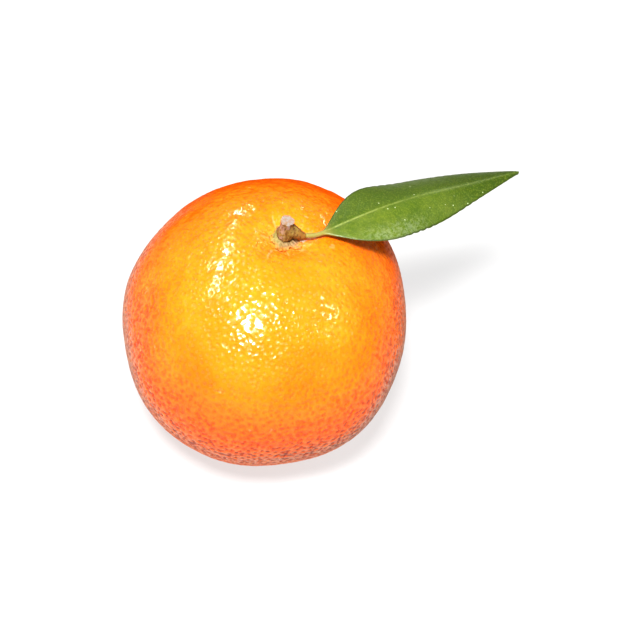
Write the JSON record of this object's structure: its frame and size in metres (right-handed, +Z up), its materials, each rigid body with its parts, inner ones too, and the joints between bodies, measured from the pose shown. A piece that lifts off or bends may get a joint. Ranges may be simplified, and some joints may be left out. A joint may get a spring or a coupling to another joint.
{
  "type": "mandarin",
  "caption": "Whole fresh mandarin as picked, a slightly flattened globe with a calyx, a cut stub of twig and one pointed leaf.",
  "frame": {"origin": "middle of the flat spot that the fruit rests on", "axes": "+Z up along the fruit's own axis to the stem, -Z out of the flat spot, +X the way the leaf reaches furthest"},
  "size_m": [0.0766, 0.0695, 0.0607],
  "materials": {
    "peel": "glossy, pitted with oil glands",
    "calyx": "dry, matte",
    "bark": "rough bark with a pale cut end",
    "leaf": "waxy, half gloss"
  },
  "bodies": {
    "root": {"fruit": "peel", "calyx": "calyx", "twig": "bark", "leaf": "leaf"}
  },
  "joints": []
}
